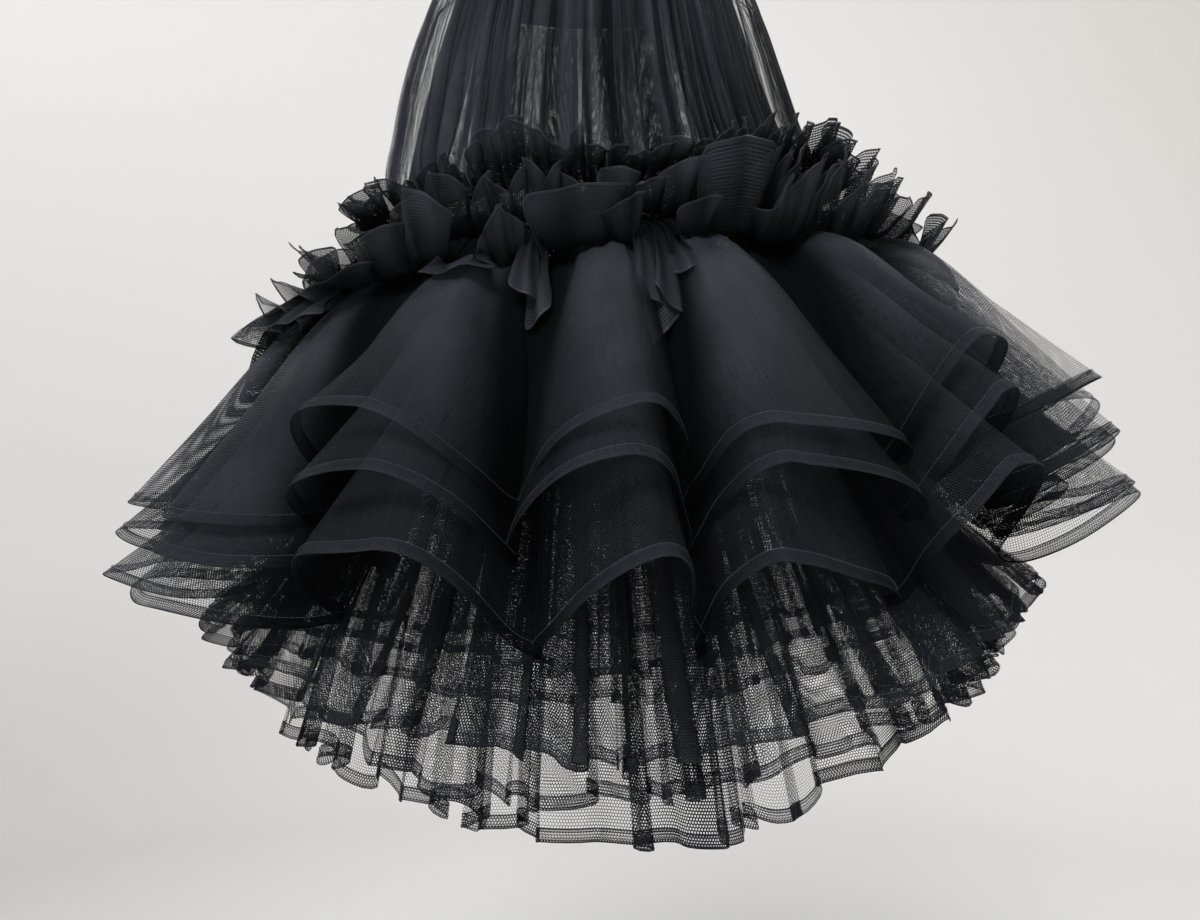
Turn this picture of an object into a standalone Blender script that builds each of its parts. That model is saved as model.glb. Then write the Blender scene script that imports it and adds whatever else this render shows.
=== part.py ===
"""A knee-length black tulle skirt: waistband, sheer overlay, gathered body, three ruffled
headings, three fluted flounces of stiff net and three long soft layers under them.

Metres, +Z up. The origin is the centre of the waistband's top edge, where the skirt is held.
Azimuth 0 is the centre front (-Y), and it grows towards +X.
"""

import math
from collections import namedtuple

import bpy

MM = 0.001
TURN = 2 * math.pi

# Cloth walls. SEWN_ON is how far one wall's middle lies off the middle of the wall it is sewn to.
WALL = 1.2 * MM
SEAM_GAP = 0.3 * MM
SEWN_ON = WALL + SEAM_GAP

# Depth front to back as a share of the width: down to the seams, and at the hem.
DEPTH_AT_WAIST = 0.88
DEPTH_AT_HEM = 0.80
DEPTH_FROM_Z = -0.320
HEM_Z = -0.650

# The skirt hangs askew: from the hips down it is turned a little towards +X.
ASKEW = 0.050
ASKEW_FROM_Z = -0.080
ASKEW_FULL_Z = -0.205

# The long layers ride up at the sides, under the flounces that stand out there.
SIDE_LIFT = 0.095
SIDE_LIFT_FROM_Z = -0.400
SIDE_LIFT_FULL_Z = -0.650

# Waistband: a doubled elastic band.
BAND_HEIGHT = 30 * MM
BAND_RADIUS = 109 * MM
BAND_WALL = 3 * MM
BAND_COLUMNS = 48

# Where each piece is sewn on the body, below the waistband's top edge.
HEADING_SEAMS_Z = {"upper": -0.216, "middle": -0.229, "lower": -0.241}
FLOUNCE_SEAMS_Z = {"outer": -0.250, "middle": -0.258, "inner": -0.266}
LONG_SEAM_Z = -0.308

Level = namedtuple("Level", "z radius wave")
Row = namedtuple("Row", "valley_radius valley_z crest_radius crest_z bulge share")
Flute = namedtuple("Flute", "crest_deg reach lift valley_deg out valley_lift")
Frill = namedtuple("Frill", "waves reach rise rise_to_x wave sway")
Uneven = namedtuple("Uneven", "share rounds phase")

# The body: gathered below the band, then stitched smooth where the pieces are sewn on it.
BODY_GATHERS = 24
BODY_COLUMNS = 5
BODY_UNEVEN = Uneven(share=0.25, rounds=3, phase=0.7)
BODY_LEVELS = (
    Level(z=-0.0305, radius=0.1064, wave=0.0),
    Level(z=-0.075, radius=0.121, wave=0.0042),
    Level(z=-0.140, radius=0.141, wave=0.0052),
    Level(z=-0.208, radius=0.160, wave=0.0),
    Level(z=-0.314, radius=0.201, wave=0.0),
)

# The overlay: one bell-shaped layer over the body, sewn down above the upper heading.
OVERLAY_WAVES = 6
OVERLAY_COLUMNS = 48
OVERLAY_LEVELS = (
    Level(z=-0.0310, radius=0.1086, wave=0.0),
    Level(z=-0.040, radius=0.125, wave=0.0005),
    Level(z=-0.064, radius=0.1355, wave=0.0010),
    Level(z=-0.100, radius=0.1475, wave=0.0015),
    Level(z=-0.150, radius=0.160, wave=0.0020),
    Level(z=-0.190, radius=0.1685, wave=0.0015),
)
OVERLAY_SEAM_Z = -0.209

# The flutes that all three flounces share: each crest, and the valley after it. Reach scales how
# far the crest stands out, and out is how far the valley stands off its own row's radius.
FLUTES = (
    Flute(crest_deg=-22, reach=1.04, lift=0.023, valley_deg=-12.5, out=0.000, valley_lift=0.000),
    Flute(crest_deg=0.5, reach=0.97, lift=0.010, valley_deg=8, out=0.000, valley_lift=0.000),
    Flute(crest_deg=14.5, reach=0.98, lift=-0.005, valley_deg=33, out=0.028, valley_lift=0.012),
    Flute(crest_deg=38, reach=0.92, lift=0.032, valley_deg=49, out=0.030, valley_lift=0.036),
    Flute(crest_deg=62, reach=1.00, lift=-0.004, valley_deg=73, out=0.000, valley_lift=0.000),
    Flute(crest_deg=84, reach=1.03, lift=-0.016, valley_deg=95, out=0.000, valley_lift=0.000),
    Flute(crest_deg=106, reach=0.98, lift=-0.012, valley_deg=117, out=0.010, valley_lift=0.004),
    Flute(crest_deg=128, reach=1.03, lift=-0.012, valley_deg=138, out=0.000, valley_lift=0.000),
    Flute(crest_deg=150, reach=0.96, lift=0.000, valley_deg=162, out=0.004, valley_lift=0.000),
    Flute(crest_deg=172, reach=1.00, lift=0.000, valley_deg=183, out=0.000, valley_lift=0.000),
    Flute(crest_deg=194, reach=1.03, lift=0.008, valley_deg=204, out=0.012, valley_lift=0.006),
    Flute(crest_deg=216, reach=0.97, lift=0.008, valley_deg=227, out=0.000, valley_lift=0.000),
    Flute(crest_deg=238, reach=1.02, lift=0.000, valley_deg=250, out=0.000, valley_lift=0.000),
    Flute(crest_deg=261, reach=0.98, lift=-0.016, valley_deg=272, out=0.006, valley_lift=0.000),
    Flute(crest_deg=284, reach=0.97, lift=-0.026, valley_deg=295, out=0.000, valley_lift=0.000),
    Flute(crest_deg=307, reach=0.98, lift=-0.034, valley_deg=320, out=0.000, valley_lift=0.000),
)
FLUTE_COLUMNS = 6

# The flutes' crests ride up by this much at the +X side, and down as much at the other.
FLUTE_TILT = 0.020

# Each flounce below its seam, in the valleys and on the crests of its flutes.
FLOUNCES = {
    "outer": (
        Row(0.236, -0.300, 0.256, -0.281, bulge=0.25, share=0.1),
        Row(0.258, -0.368, 0.322, -0.338, bulge=0.70, share=0.5),
        Row(0.284, -0.436, 0.380, -0.386, bulge=0.95, share=1.0),
    ),
    "middle": (
        Row(0.230, -0.318, 0.252, -0.300, bulge=0.20, share=0.1),
        Row(0.254, -0.404, 0.325, -0.362, bulge=0.58, share=0.5),
        Row(0.288, -0.476, 0.390, -0.420, bulge=0.80, share=1.0),
    ),
    "inner": (
        Row(0.2235, -0.340, 0.248, -0.322, bulge=0.12, share=0.1),
        Row(0.249, -0.438, 0.328, -0.395, bulge=0.46, share=0.5),
        Row(0.298, -0.530, 0.400, -0.468, bulge=0.66, share=1.0),
    ),
}

# The headings: frills that stand out from their seams. The upper ones rise, the lower one droops
# over the flutes, and all sit higher towards +X.
HEADING_COLUMNS = 5
HEADINGS = {
    "upper": Frill(waves=18, reach=0.037, rise=0.025, rise_to_x=0.006, wave=0.0095, sway=0.60),
    "middle": Frill(waves=18, reach=0.061, rise=0.011, rise_to_x=0.008, wave=0.0120, sway=0.65),
    "lower": Frill(waves=18, reach=0.079, rise=-0.011, rise_to_x=0.014, wave=0.0120, sway=0.65),
}

# The long layers below their seams inside the body.
LONG_FOLDS = 21
LONG_COLUMNS = 4
LONG_UNEVEN = Uneven(share=0.3, rounds=5, phase=0.0)
LONG_LAYERS = {
    "outer": (
        Level(z=-0.450, radius=0.236, wave=0.0040),
        Level(z=-0.530, radius=0.278, wave=0.0090),
        Level(z=-0.592, radius=0.324, wave=0.0130),
    ),
    "middle": (
        Level(z=-0.450, radius=0.226, wave=0.0040),
        Level(z=-0.530, radius=0.264, wave=0.0090),
        Level(z=-0.622, radius=0.308, wave=0.0120),
    ),
    "inner": (
        Level(z=-0.450, radius=0.216, wave=0.0040),
        Level(z=-0.530, radius=0.250, wave=0.0090),
        Level(z=-0.652, radius=0.290, wave=0.0110),
    ),
}

BLACK_NET = (0.012, 0.013, 0.016)
BLACK_TULLE = (0.008, 0.009, 0.011)
BLACK_BAND = (0.010, 0.010, 0.011)


def eased(value, start, end):
    """How far value has gone from start to end, as an even rise from 0 to 1 with flat ends."""
    share = min(1.0, max(0.0, (value - start) / (end - start)))
    return share * share * (3 - 2 * share)


def between(levels, z, field):
    """A field of a table of levels at height z, read along straight lines."""
    for upper, lower in zip(levels, levels[1:]):
        if z >= lower.z:
            share = (upper.z - z) / (upper.z - lower.z)
            return getattr(upper, field) * (1 - share) + getattr(lower, field) * share
    return getattr(levels[-1], field)


def uneven_by(table, azimuth):
    """How deep the folds are at that azimuth, as a share of their usual depth."""
    return 1 + table.share * math.sin(table.rounds * azimuth + table.phase)


def place(azimuth, radius, z, clear=0.0):
    """A point of the hanging skirt. clear goes outwards, as much at the front as at the sides."""
    depth = DEPTH_AT_WAIST + (DEPTH_AT_HEM - DEPTH_AT_WAIST) * eased(z, DEPTH_FROM_Z, HEM_Z)
    x = (radius + clear) * math.sin(azimuth)
    y = -(radius * depth + clear) * math.cos(azimuth)
    z += SIDE_LIFT * math.sin(azimuth) ** 2 * eased(z, SIDE_LIFT_FROM_Z, SIDE_LIFT_FULL_Z)
    turn = ASKEW * eased(z, ASKEW_FROM_Z, ASKEW_FULL_Z)
    return (x + turn * (ASKEW_FROM_Z - z), y, z + turn * x)


def material(name, colour, roughness):
    made = bpy.data.materials.new(name)
    made.use_nodes = True
    shader = made.node_tree.nodes["Principled BSDF"]
    shader.inputs["Base Color"].default_value = (*colour, 1)
    shader.inputs["Roughness"].default_value = roughness
    shader.inputs["Metallic"].default_value = 0.0
    made.diffuse_color = (*colour, 1)
    return made


def cloth_tube(name, rings, cloth, wall=WALL):
    """A tube of cloth through closed rings of points, top ring first, with a real wall."""
    columns = len(rings[0])
    points = [point for ring in rings for point in ring]
    faces = []
    for row in range(len(rings) - 1):
        for column in range(columns):
            beside = (column + 1) % columns
            top, below = row * columns, (row + 1) * columns
            faces.append((top + column, below + column, below + beside, top + beside))
    mesh = bpy.data.meshes.new(name)
    mesh.from_pydata(points, [], faces)
    mesh.shade_smooth()
    mesh.materials.append(cloth)
    piece = bpy.data.objects.new(name, mesh)
    bpy.data.collections["skirt"].objects.link(piece)
    shell = piece.modifiers.new("wall", "SOLIDIFY")
    shell.thickness = wall
    shell.offset = 0.0
    shell.use_even_offset = False
    return piece


def even_azimuths(columns):
    return [TURN * column / columns for column in range(columns)]


def seam_on_body(azimuths, z, layers=1):
    """A ring that lies on the body: outside it, or inside it with layers under 0."""
    radius = between(BODY_LEVELS, z, "radius")
    return [place(azimuth, radius, z, clear=layers * SEWN_ON) for azimuth in azimuths]


def waistband(cloth):
    """An upright band with its top edge at the origin's height."""
    middle = BAND_RADIUS - BAND_WALL / 2
    azimuths = even_azimuths(BAND_COLUMNS)
    rings = [[place(azimuth, middle, z) for azimuth in azimuths] for z in (0.0, -BAND_HEIGHT)]
    return cloth_tube("waistband", rings, cloth, BAND_WALL)


def gathered_body(cloth):
    """The body: gathers that fade into smooth rows at the waist and at the seams."""
    rings = []
    for level in BODY_LEVELS:
        ring = []
        for azimuth in even_azimuths(BODY_GATHERS * BODY_COLUMNS):
            fold = level.wave * uneven_by(BODY_UNEVEN, azimuth) * math.cos(BODY_GATHERS * azimuth)
            ring.append(place(azimuth, level.radius + fold, level.z))
        rings.append(ring)
    return cloth_tube("body_tulle", rings, cloth)


def overlay(cloth):
    """The outermost sheer layer, which hangs clear of the body and is drawn in at its foot."""
    azimuths = even_azimuths(OVERLAY_COLUMNS)
    rings = []
    for level in OVERLAY_LEVELS:
        ring = []
        for azimuth in azimuths:
            fold = level.wave * math.cos(OVERLAY_WAVES * azimuth)
            ring.append(place(azimuth, level.radius + fold, level.z))
        rings.append(ring)
    rings.append(seam_on_body(azimuths, OVERLAY_SEAM_Z))
    return cloth_tube("overlay_tulle", rings, cloth)


def flute_columns():
    """(crest share, azimuth, bulge room, flute, valley) of every column round a flounce."""
    columns = []
    half = FLUTE_COLUMNS // 2
    before = FLUTES[-1]._replace(valley_deg=FLUTES[-1].valley_deg - 360)
    for flute in FLUTES:
        for column in range(FLUTE_COLUMNS):
            phase = column / FLUTE_COLUMNS
            valley = before if column < half else flute
            width = 2 * math.radians(valley.valley_deg - flute.crest_deg)
            width = -width if column < half else width
            azimuth = math.radians(flute.crest_deg) + width * (phase - 0.5)
            room = width * math.sin(TURN * phase) / TURN
            columns.append((0.5 - 0.5 * math.cos(TURN * phase), azimuth, room, flute, valley))
        before = flute
    return columns


def flounce(level_name, cloth):
    """One flounce: smooth at its seam, and in deep flutes with narrow valleys at its hem."""
    columns = flute_columns()
    azimuths = [azimuth for _, azimuth, _, _, _ in columns]
    rings = [seam_on_body(azimuths, FLOUNCE_SEAMS_Z[level_name])]
    for row in FLOUNCES[level_name]:
        ring = []
        for crest, azimuth, room, flute, valley in columns:
            low_radius = row.valley_radius + valley.out * row.share
            low_z = row.valley_z + valley.valley_lift * row.share
            high_radius = row.valley_radius + (row.crest_radius - row.valley_radius) * flute.reach
            tilt = FLUTE_TILT * math.sin(math.radians(flute.crest_deg))
            high_z = row.crest_z + flute.lift * row.share + tilt
            radius = low_radius + (high_radius - low_radius) * crest
            z = low_z + (high_z - low_z) * crest
            ring.append(place(azimuth - row.bulge * room, radius, z))
        rings.append(ring)
    return cloth_tube(f"flounce_{level_name}", rings, cloth)


def heading(level_name, cloth):
    """One frill: sewn smooth on the body, its free edge waving up and down and side to side."""
    frill = HEADINGS[level_name]
    seam_z = HEADING_SEAMS_Z[level_name]
    seam_radius = between(BODY_LEVELS, seam_z, "radius")
    azimuths = even_azimuths(frill.waves * HEADING_COLUMNS)
    rings = [seam_on_body(azimuths, seam_z)]
    for share in (0.5, 1.0):
        ring = []
        for azimuth in azimuths:
            rise = frill.rise + frill.rise_to_x * math.sin(azimuth)
            slope = math.atan2(rise, frill.reach)
            angle = frill.waves * azimuth
            wave = frill.wave * share * math.cos(angle)
            turned = azimuth + frill.sway * share * math.sin(angle) / frill.waves
            radius = seam_radius + share * frill.reach - wave * math.sin(slope)
            ring.append(place(turned, radius, seam_z + share * rise + wave * math.cos(slope)))
        rings.append(ring)
    return cloth_tube(f"heading_{level_name}", rings, cloth)


def long_layer(level_name, order, cloth):
    """One long soft layer: smooth at the top, then folds that deepen towards the hem."""
    azimuths = even_azimuths(LONG_FOLDS * LONG_COLUMNS)
    rings = [seam_on_body(azimuths, LONG_SEAM_Z, layers=-1 - order)]
    for level in LONG_LAYERS[level_name]:
        ring = []
        for azimuth in azimuths:
            fold = level.wave * uneven_by(LONG_UNEVEN, azimuth) * math.cos(LONG_FOLDS * azimuth)
            ring.append(place(azimuth, level.radius + fold, level.z))
        rings.append(ring)
    return cloth_tube(f"long_layer_{level_name}", rings, cloth)


def main():
    for obj in list(bpy.data.objects):
        bpy.data.objects.remove(obj)
    collection = bpy.data.collections.new("skirt")
    bpy.context.scene.collection.children.link(collection)
    net = material("black_net", BLACK_NET, 0.55)
    tulle = material("black_tulle", BLACK_TULLE, 0.7)
    elastic = material("black_band", BLACK_BAND, 0.6)
    waistband(elastic)
    overlay(tulle)
    gathered_body(tulle)
    for level_name in HEADINGS:
        heading(level_name, tulle)
    for level_name in FLOUNCES:
        flounce(level_name, net)
    for order, level_name in enumerate(LONG_LAYERS):
        long_layer(level_name, order, tulle)


main()
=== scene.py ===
"""The looks of a knee-length black tulle skirt that hangs by its waist.

Every piece of cloth is a thin sheet along its solid in the frame: a sheer overlay on a gathered
body, three rows of looped ruffles, three fluted flounces of stiff net with folded and stitched
hems, and three long soft layers under them.

Metres, +Z up. Azimuth 0 is the centre front (-Y), and it grows towards +X.
"""

import math
from collections import namedtuple

import bpy
import numpy as np
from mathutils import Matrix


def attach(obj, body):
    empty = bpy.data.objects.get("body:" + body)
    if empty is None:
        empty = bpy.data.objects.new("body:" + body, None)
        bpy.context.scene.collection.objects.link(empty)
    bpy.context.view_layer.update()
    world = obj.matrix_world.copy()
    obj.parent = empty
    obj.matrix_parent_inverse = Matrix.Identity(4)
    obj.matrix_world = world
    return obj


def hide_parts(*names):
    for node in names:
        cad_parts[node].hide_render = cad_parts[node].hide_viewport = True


bl_info = {
    "name": "Tulle skirt",
    "version": (1, 0, 0),
    "blender": (4, 5, 0),
    "location": "3D View > Sidebar > Skirt",
    "description": "Makes a black tulle skirt with ruffles, fluted net flounces and long layers",
    "category": "Add Mesh",
}

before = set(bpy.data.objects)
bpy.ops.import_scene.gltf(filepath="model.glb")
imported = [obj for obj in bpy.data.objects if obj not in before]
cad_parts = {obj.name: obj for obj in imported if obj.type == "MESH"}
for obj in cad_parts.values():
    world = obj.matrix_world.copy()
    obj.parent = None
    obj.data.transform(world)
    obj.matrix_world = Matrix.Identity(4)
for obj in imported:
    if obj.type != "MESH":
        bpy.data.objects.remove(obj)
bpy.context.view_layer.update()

MM = 0.001
TURN = 2 * math.pi
BODY = "root"

# The photo's frame and camera.
PHOTO_WIDTH_PX = 1200
CAMERA_FOCUS_PX = 1296
CAMERA_CENTRE_PX = 594
CAMERA_Y = -1.05
CAMERA_Z = -0.41
SENSOR_MM = 36

# The hanging form that all pieces share.
SEWN_ON = 1.5 * MM
DEPTH_AT_WAIST = 0.88
DEPTH_AT_HEM = 0.80
DEPTH_FROM_Z = -0.320
HEM_Z = -0.650
ASKEW = 0.050
ASKEW_FROM_Z = -0.080
ASKEW_FULL_Z = -0.205
SIDE_LIFT = 0.095
SIDE_LIFT_FROM_Z = -0.400
SIDE_LIFT_FULL_Z = -0.650

BAND_HEIGHT = 30 * MM
BAND_RADIUS = 109 * MM
BAND_WALL = 3 * MM

Level = namedtuple("Level", "z radius fold")
Row = namedtuple("Row", "valley_radius valley_z crest_radius crest_z bulge share")
Flute = namedtuple("Flute", "crest_deg reach lift valley_deg out valley_lift twist_mm")
Frill = namedtuple("Frill", "knee_out knee_rise rim_out stand rise_to_x")
Loop = namedtuple("Loop", "degrees spread high lean out_mm")
Crease = namedtuple("Crease", "azimuth_top azimuth_hem share_top share_hem width_mm depth_mm")

# Where each piece is sewn on the body.
HEADING_SEAMS_Z = {"upper": -0.216, "middle": -0.229, "lower": -0.241}
FLOUNCE_SEAMS_Z = {"outer": -0.250, "middle": -0.258, "inner": -0.266}
LONG_SEAM_Z = -0.308
OVERLAY_SEAM_Z = -0.209

# Height, mean radius, and how far the gathers stand off that radius there.
BODY_LEVELS = [Level(*row) for row in (
    (-0.0305, 0.1064, 0.0010), (-0.075, 0.121, 0.0058), (-0.140, 0.141, 0.0075),
    (-0.208, 0.160, 0.0030), (-0.314, 0.201, 0.0008),
)]
OVERLAY_LEVELS = [Level(*row) for row in (
    (-0.0310, 0.1086, 0.0006), (-0.040, 0.125, 0.0014), (-0.064, 0.1355, 0.0022),
    (-0.100, 0.1475, 0.0028), (-0.150, 0.160, 0.0034), (-0.190, 0.1685, 0.0026),
)]
LONG_LAYERS = {
    "outer": (Level(-0.450, 0.236, 0.0065), Level(-0.530, 0.278, 0.0110), Level(-0.592, 0.324, 0.0150)),
    "middle": (Level(-0.450, 0.226, 0.0065), Level(-0.530, 0.264, 0.0110), Level(-0.622, 0.308, 0.0150)),
    "inner": (Level(-0.450, 0.216, 0.0065), Level(-0.530, 0.250, 0.0105), Level(-0.652, 0.290, 0.0135)),
}

# Of each flute: its crest's azimuth, how far it reaches and how high its hem is lifted, then the
# azimuth of the valley after it and how far that lies out and up, and how much higher the hem is
# on the flute's lower-azimuth side.
FLUTES = [Flute(*row) for row in (
    (-22, 1.04, 0.023, -12.5, 0.000, 0.000, 11),
    (0.5, 0.97, 0.010, 8, 0.000, 0.000, -9),
    (14.5, 0.98, -0.005, 33, 0.028, 0.012, 6),
    (38, 0.92, 0.032, 49, 0.030, 0.036, -9),
    (62, 1.00, -0.004, 73, 0.000, 0.000, -9),
    (84, 1.03, -0.016, 95, 0.000, 0.000, -15),
    (106, 0.98, -0.012, 117, 0.010, 0.004, -12),
    (128, 1.03, -0.012, 138, 0.000, 0.000, 5),
    (150, 0.96, 0.000, 162, 0.004, 0.000, -6),
    (172, 1.00, 0.000, 183, 0.000, 0.000, 8),
    (194, 1.03, 0.008, 204, 0.012, 0.006, -7),
    (216, 0.97, 0.008, 227, 0.000, 0.000, 6),
    (238, 1.02, 0.000, 250, 0.000, 0.000, 4),
    (261, 0.98, -0.016, 272, 0.006, 0.000, 7),
    (284, 0.97, -0.026, 295, 0.000, 0.000, 9),
    (307, 0.98, -0.034, 320, 0.000, 0.000, 7),
)]
FLUTE_TILT = 0.020
# Rows from the seam to the hem. Share is how much of each flute's own values counts there.
FLOUNCES = {
    "outer": (
        Row(0.236, -0.300, 0.256, -0.281, 0.25, 0.1),
        Row(0.258, -0.368, 0.322, -0.338, 0.70, 0.5),
        Row(0.284, -0.436, 0.380, -0.386, 0.95, 1.0),
    ),
    "middle": (
        Row(0.230, -0.318, 0.252, -0.300, 0.20, 0.1),
        Row(0.254, -0.404, 0.325, -0.362, 0.58, 0.5),
        Row(0.288, -0.476, 0.390, -0.420, 0.80, 1.0),
    ),
    "inner": (
        Row(0.2235, -0.340, 0.248, -0.322, 0.12, 0.1),
        Row(0.249, -0.438, 0.328, -0.395, 0.46, 0.5),
        Row(0.298, -0.530, 0.400, -0.468, 0.66, 1.0),
    ),
}
# A ruffle runs out to a knee, and its free edge stands up from there to the rim.
HEADINGS = {
    "upper": Frill(knee_out=0.008, knee_rise=0.000, rim_out=0.028, stand=0.027, rise_to_x=0.006),
    "middle": Frill(knee_out=0.030, knee_rise=-0.017, rim_out=0.050, stand=0.032, rise_to_x=0.008),
    "lower": Frill(knee_out=0.058, knee_rise=-0.026, rim_out=0.076, stand=0.034, rise_to_x=0.014),
}

# The loops of each ruffle across the front, from FRONT_FROM_DEG on: how much of the seam each
# takes, how far its rim spreads over its neighbours, in degrees, its height as a share of the
# ruffle's stand (under 0 it hangs), how much higher its right end is, and how far it comes out.
FRONT_FROM_DEG = -62
FRONT_LOOPS = {
    "upper": (
        (6, 9, 0.7, 0.2, 0), (5, 8, 0.9, -0.2, 1), (7, 10, 0.7, 0.3, -1), (6, 9, 0.8, 0.2, 0),
        (4, 7, 0.9, 0.3, 0), (4, 6, 0.8, -0.2, 1), (4, 7, 1.0, 0.2, 2), (3, 5, 1.3, 0.1, 4),
        (3, 5, 1.4, 0.2, 5), (3, 5, 1.45, 0.1, 5), (3, 5, 1.4, -0.1, 5), (3, 6, 1.25, -0.2, 4),
        (4, 6, 0.8, -0.3, 0), (3, 4, 1.0, 0.3, 0), (4, 6, 0.9, -0.2, 1), (5, 7, 0.6, 0.3, -2),
        (5, 7, 0.5, 0.2, -2), (4, 7, 0.7, 0.2, 0), (4, 6, 0.8, -0.2, 0), (4, 6, 0.7, 0.3, 1),
        (4, 7, 0.9, 0.2, 0), (3, 5, 1.1, 0.3, 3), (3, 5, 1.2, 0.3, 3), (3, 5, 1.1, 0.2, 4),
        (3, 5, 1.25, 0.3, 4), (3, 5, 1.1, 0.3, 3), (6, 10, 1.3, 0.3, 5), (6, 9, 1.2, 0.2, 4),
        (6, 10, 1.3, 0.2, 5),
    ),
    "middle": (
        (6, 10, 0.8, 0.2, 4), (6, 9, 0.9, -0.2, 2), (7, 12, 0.8, 0.2, 4), (10, 15, 1.1, 0.1, 0),
        (8, 13, 1.35, -0.2, 3), (4, 6, 1.0, 0.3, -4), (4, 6, 0.9, -0.3, -2), (3, 5, 0.9, 0.3, 0),
        (3, 4, 1.1, -0.2, 0), (3, 5, 0.9, 0.3, 1), (3, 5, 0.8, -0.3, 0), (5, 8, 0.7, 0.2, 0),
        (5, 8, 0.8, -0.2, -2), (6, 9, 0.7, 0.2, -4), (5, 8, 0.9, 0.2, 0), (8, 13, 1.2, 0.1, 2),
        (4, 6, 1.0, 0.4, 0), (4, 7, 1.1, 0.4, 1), (3, 5, 1.0, 0.3, 0), (5, 7, 1.2, 0.4, 2),
        (4, 6, 1.0, 0.3, 1), (6, 10, 1.1, 0.3, 6), (6, 11, 1.2, 0.2, 8), (6, 10, 1.1, 0.3, 8),
    ),
    "lower": (
        (4, 8, 0.4, 0.2, 8), (3, 7, 0.9, -0.3, 4), (4, 9, 0.3, 0.2, 8), (3, 6, 1.0, 0.3, 3),
        (7, 12, 0.75, 0.2, 4), (9, 15, 1.1, 0.1, 2), (6, 13, 1.45, -0.3, -6), (7, 16, -0.15, 0.2, 13),
        (3, 5, 0.9, 0.3, 0), (3, 4, 0.8, -0.2, 0), (1.5, 5, -0.9, 0.2, 6), (1.5, 5, -1.3, -0.2, 3),
        (12, 17, 1.05, 0.05, 5), (3, 5, 0.7, 0.3, 2), (1.5, 5, -1.1, 0.2, 6), (1.5, 6, -1.8, -0.2, 3),
        (2, 6, -1.2, 0.3, 6), (2, 5, -0.6, -0.2, 2), (4, 7, 0.6, 0.2, 0), (10, 15, 1.5, 0.05, 4),
        (4, 6, 0.9, 0.5, 0), (4, 7, 1.1, 0.4, 2), (3, 5, 1.0, 0.5, 1), (5, 8, 1.2, 0.4, 3),
        (4, 6, 1.1, 0.4, 3), (6, 11, 0.9, 0.2, 6), (6, 12, 0.7, 0.1, 10), (6, 12, 0.8, 0.2, 12),
    ),
}
# At the two sides the ruffles' ends lie further out in one sheer layer: the side's azimuth, how
# wide it is, how far out, and how much of the stand is added there.
SIDE_ENDS = {
    "upper": ((-85, 38, 0.006, -0.25), (78, 26, 0.005, 0.80)),
    "middle": ((-80, 40, 0.014, -0.75), (82, 24, 0.010, 0.30)),
    "lower": ((-80, 38, 0.026, -1.25), (84, 20, 0.018, 0.05)),
}
SHEER_ENDS = {"upper": 0.3, "middle": 0.6, "lower": 1.0}
FOLD_BACK = 17 * MM
# At its two ends a ruffle's loops turn their faces to the front.
END_FLAPS = 1.5
END_FLAPS_DEG = (-80, 80)
# Narrowest and widest loop away from the front, in degrees.
LOOP_RANGE_DEG = {"upper": (2.8, 5.5), "middle": (3.0, 8.5), "lower": (3.0, 11.0)}
LOOP_SEEDS = {"upper": 11, "middle": 23, "lower": 37}
LOOP_COLUMNS = 20
FRILL_ROWS = 17
FRILL_GATHERS = 190
RIM_PLEATS = 3
RIM_PLEAT_DEPTH = 2.8 * MM

# Soft troughs (depth under 0) and ridges on the outer flounce: where each starts and
# ends, in degrees round the skirt and as shares of the way from the seam to the hem.
CREASES = [Crease(*row) for row in (
    (-30, -37, 0.10, 0.80, 16, -3.2), (-25, -27, 0.05, 0.62, 11, 2.2), (-20, -17, 0.08, 0.72, 13, -2.8),
    (-15, -14, 0.20, 0.95, 10, 2.0), (-5, -8, 0.06, 0.66, 12, -2.6), (1, 2, 0.05, 0.88, 15, 2.4),
    (5, 7, 0.10, 0.58, 9, -2.4), (12, 11, 0.06, 0.74, 13, -2.8), (17, 19, 0.04, 0.55, 10, 2.2),
    (22, 27, 0.10, 0.92, 17, -3.4), (30, 31, 0.05, 0.60, 11, 2.0), (38, 36, 0.06, 0.70, 13, -3.0),
    (44, 47, 0.12, 0.85, 12, 2.6), (58, 61, 0.05, 0.66, 15, -2.8), (66, 68, 0.10, 0.90, 11, 2.2),
    (82, 79, 0.06, 0.74, 14, -3.0), (90, 92, 0.06, 0.52, 10, 2.0), (103, 107, 0.08, 0.84, 15, -2.6),
    (125, 123, 0.05, 0.64, 12, -3.0), (133, 135, 0.12, 0.92, 11, 2.4), (149, 152, 0.06, 0.76, 16, -2.8),
    (168, 166, 0.06, 0.58, 11, 2.2), (176, 178, 0.10, 0.88, 13, -3.2), (192, 195, 0.05, 0.70, 14, -2.6),
    (200, 199, 0.12, 0.94, 10, 2.2), (214, 217, 0.06, 0.66, 15, -3.0), (236, 233, 0.05, 0.80, 13, -2.8),
    (244, 246, 0.10, 0.60, 10, 2.2), (259, 262, 0.06, 0.74, 15, -3.0), (268, 269, 0.14, 0.92, 11, 2.0),
    (282, 279, 0.05, 0.68, 13, -2.6), (290, 292, 0.10, 0.86, 12, 2.4), (305, 308, 0.06, 0.76, 16, -3.2),
    (314, 315, 0.12, 0.56, 10, 2.0),
)]

# How much fuller the flutes' flanks are than the solids'.
FLANK_ROOM = {"outer": 1.09, "middle": 1.25, "inner": 1.42}
FLUTE_COLUMNS = 44
FLOUNCE_ROWS = 40
SEAM_GATHERS = 150
SEAM_GATHER_DEPTH = 1.9 * MM
FLOUNCE_SEEDS = {"outer": 5, "middle": 6, "inner": 7}
HEM_RIPPLE_MM = {"outer": 2.4, "middle": 4.0, "inner": 7.5}
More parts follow.
